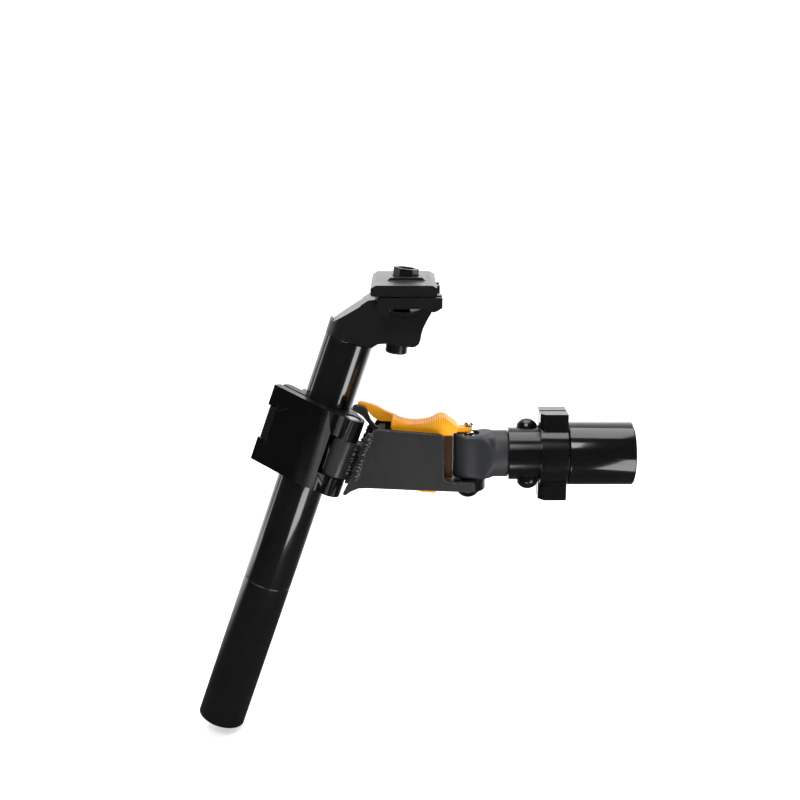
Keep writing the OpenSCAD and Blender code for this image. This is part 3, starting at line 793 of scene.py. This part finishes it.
# pale paper whose front half looks dark in reflections, so glossy black stays black
def makePaper():
    paper = bpy.data.materials.new("paper")
    paper.use_nodes = True
    tree = paper.node_tree
    surface = tree.nodes["Principled BSDF"]
    glossy = tree.nodes.new("ShaderNodeLightPath").outputs["Is Glossy Ray"]
    along = axisOf(tree, objectCoords(tree), "Y")
    towardBack = rampNode(tree, along, studio["darkUpTo"], studio["brightFrom"])
    front = mathNode(tree, "SUBTRACT", 1.0, towardBack)
    dimmed = mathNode(tree, "MULTIPLY", mathNode(tree, "MULTIPLY", glossy, front), 1 - studio["mirrored"])
    level = mathNode(tree, "SUBTRACT", 1.0, dimmed)
    tree.links.new(mathNode(tree, "MULTIPLY", level, studio["paperColor"]), surface.inputs["Base Color"])
    tree.links.new(mathNode(tree, "MULTIPLY", level, studio["glow"]), surface.inputs["Emission Strength"])
    surface.inputs["Emission Color"].default_value = (1, 1, 1, 1)
    surface.inputs["Roughness"].default_value = studio["paperRough"]
    surface.inputs["Specular IOR Level"].default_value = 0.0
    return paper


def buildBackdrop():
    backdrop = newObject("backdrop", backdropMesh())
    backdrop.data.materials.append(makePaper())


def areaLight(name, position, target, size, power):
    data = bpy.data.lights.new(name, "AREA")
    data.shape = "RECTANGLE"
    data.size, data.size_y = size
    data.energy = power
    obj = newObject(name, data)
    obj.location = position
    obj.rotation_euler = (Vector(target) - Vector(position)).to_track_quat("-Z", "Y").to_euler()
    return obj


buildBackdrop()
# where each light stands, the point it faces, its width and height, and its power
middle = (0.08, -0.01, 0.07)
lights = {
    "topLight": ((0.1, 0.12, 1.1), middle, (0.9, 0.9), 12),
    "frontLight": ((-0.1, -0.95, 1.05), middle, (0.7, 0.45), 11),
    "leftRim": ((-0.95, 0.28, 0.3), middle, (0.14, 0.9), 1),
    "rightRim": ((0.75, 0.75, 0.45), middle, (0.3, 0.7), 7),
}
# two small cards low on the right, which the leaning post mirrors as a long band
cards = {
    "upperCard": ((0.25, -0.18, -0.015), (0.045, -0.012, 0.11), (0.1, 0.14), 0.3),
    "lowerCard": ((0.105, -0.165, -0.05), (0.02, -0.012, 0.05), (0.09, 0.05), 0.09),
}
for name, values in lights.items():
    areaLight(name, *values)
for name, values in cards.items():
    areaLight(name, *values).visible_camera = False

world = bpy.data.worlds.new("studio")
world.use_nodes = True
worldTree = world.node_tree
seen = worldTree.nodes.new("ShaderNodeLightPath").outputs["Is Camera Ray"]
worldTree.nodes["Background"].inputs["Color"].default_value = (1, 1, 1, 1)
worldLevel = mathNode(worldTree, "MAXIMUM", seen, studio["worldLevel"])
worldTree.links.new(worldLevel, worldTree.nodes["Background"].inputs["Strength"])
bpy.context.scene.world = world
bpy.context.scene.view_settings.view_transform = "Standard"

view = dict(lens=52.4, sensor=36, position=(0.07078, -0.58218, 0.24417), down=14)
cameraData = bpy.data.cameras.new("camera")
cameraData.lens = view["lens"]
cameraData.sensor_width = view["sensor"]
camera = newObject("camera", cameraData)
camera.location = view["position"]
camera.rotation_euler = (math.radians(90 - view["down"]), 0, 0)
bpy.context.scene.camera = camera
print("studio ready")
